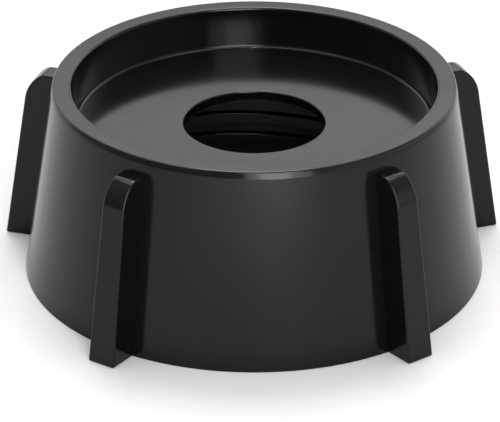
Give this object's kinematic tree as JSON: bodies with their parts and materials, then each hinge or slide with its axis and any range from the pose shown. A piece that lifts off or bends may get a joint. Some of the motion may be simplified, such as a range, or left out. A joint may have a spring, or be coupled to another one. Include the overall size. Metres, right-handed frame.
{
  "type": "blender jar base cap",
  "caption": "Tapered moulded collar with outside grip fins and an inside jar thread. It screws on to a blender jar and clamps the blade unit, whose drive passes its central hole.",
  "frame": {"origin": "centre of the wide rim's face, on the cap's axis, on the surface that the cap stands on", "axes": "+Z along the cap's axis, from the wide threaded end to the narrow end with the recess; one fin points along +Y"},
  "size_m": [0.0898, 0.0874, 0.0351],
  "materials": {
    "black_plastic": "black, moulded, semi-gloss"
  },
  "bodies": {
    "root": {"jar_base_cap": "black_plastic"}
  },
  "joints": []
}
